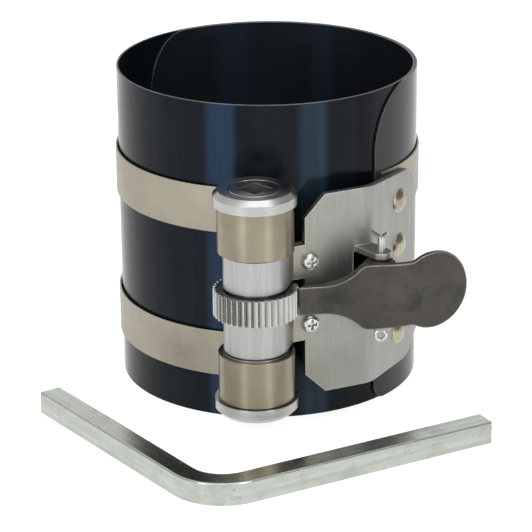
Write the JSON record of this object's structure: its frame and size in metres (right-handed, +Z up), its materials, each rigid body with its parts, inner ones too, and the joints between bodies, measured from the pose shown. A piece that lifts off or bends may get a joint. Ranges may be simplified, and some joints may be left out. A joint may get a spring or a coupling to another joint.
{
  "type": "piston ring compressor",
  "caption": "Ratchet piston ring compressor: rolled dark steel sleeve in flat bands that wind on a square-socket spindle, with pawl lever and bent square key.",
  "frame": {"origin": "on the sleeve's axis, in the plane of its lower rim, which stands on the floor", "axes": "+Z up along the sleeve's axis; -Y towards the spindle and the loose key; +X towards the lever's pad"},
  "size_m": [0.1215, 0.1387, 0.0889],
  "materials": {
    "blued_spring_steel": "gloss, nearly black blue",
    "band_steel": "satin, warm grey",
    "plate_steel": "satin, silver grey",
    "rivet_straw": "straw coloured passivation",
    "bright_zinc": "bright zinc plate",
    "turned_steel": "turned, bright zinc plate",
    "spring_wire": "drawn wire",
    "dark_steel": "satin, dark warm grey",
    "key_zinc": "satin zinc plate, pale greenish grey"
  },
  "bodies": {
    "frame": {"sleeve": "blued_spring_steel", "upper_band": "band_steel", "lower_band": "band_steel", "mounting_plate": "plate_steel", "upper_band_rivet": "rivet_straw", "lower_band_rivet": "rivet_straw", "plate_rivets": "rivet_straw", "upper_clamp_screw": "bright_zinc", "lower_clamp_screw": "bright_zinc", "upper_clamp_nut": "bright_zinc", "lower_clamp_nut": "bright_zinc", "pivot_pin": "bright_zinc", "lever_spring": "spring_wire"},
    "spindle": {"spindle_shaft": "turned_steel", "upper_spool": "turned_steel", "lower_spool": "turned_steel", "ratchet_wheel": "bright_zinc", "upper_spool_pin": "turned_steel", "lower_spool_pin": "turned_steel", "upper_band_coil": "band_steel", "lower_band_coil": "band_steel"},
    "lever": {"release_lever": "dark_steel"},
    "key": {"square_key": "key_zinc"}
  },
  "joints": [
    {"name": "spindle_turn", "type": "hinge", "parent": "frame", "child": "spindle", "pos_m": [-0.00345, -0.05342, 0.0392], "axis": [0, 0, 1], "range_deg": [-540, 720]},
    {"name": "lever_press", "type": "hinge", "parent": "frame", "child": "lever", "pos_m": [0.02984, -0.0465, 0.0392], "axis": [0, 0, 1], "range_deg": [-3.2, 12], "stiffness_Nm_per_rad": 0.05, "deforming": ["lever_spring"]},
    {"name": "key_lift", "type": "slide", "parent": "frame", "child": "key", "axis": [0, 0, 1], "range_m": [0, 0.12]}
  ]
}
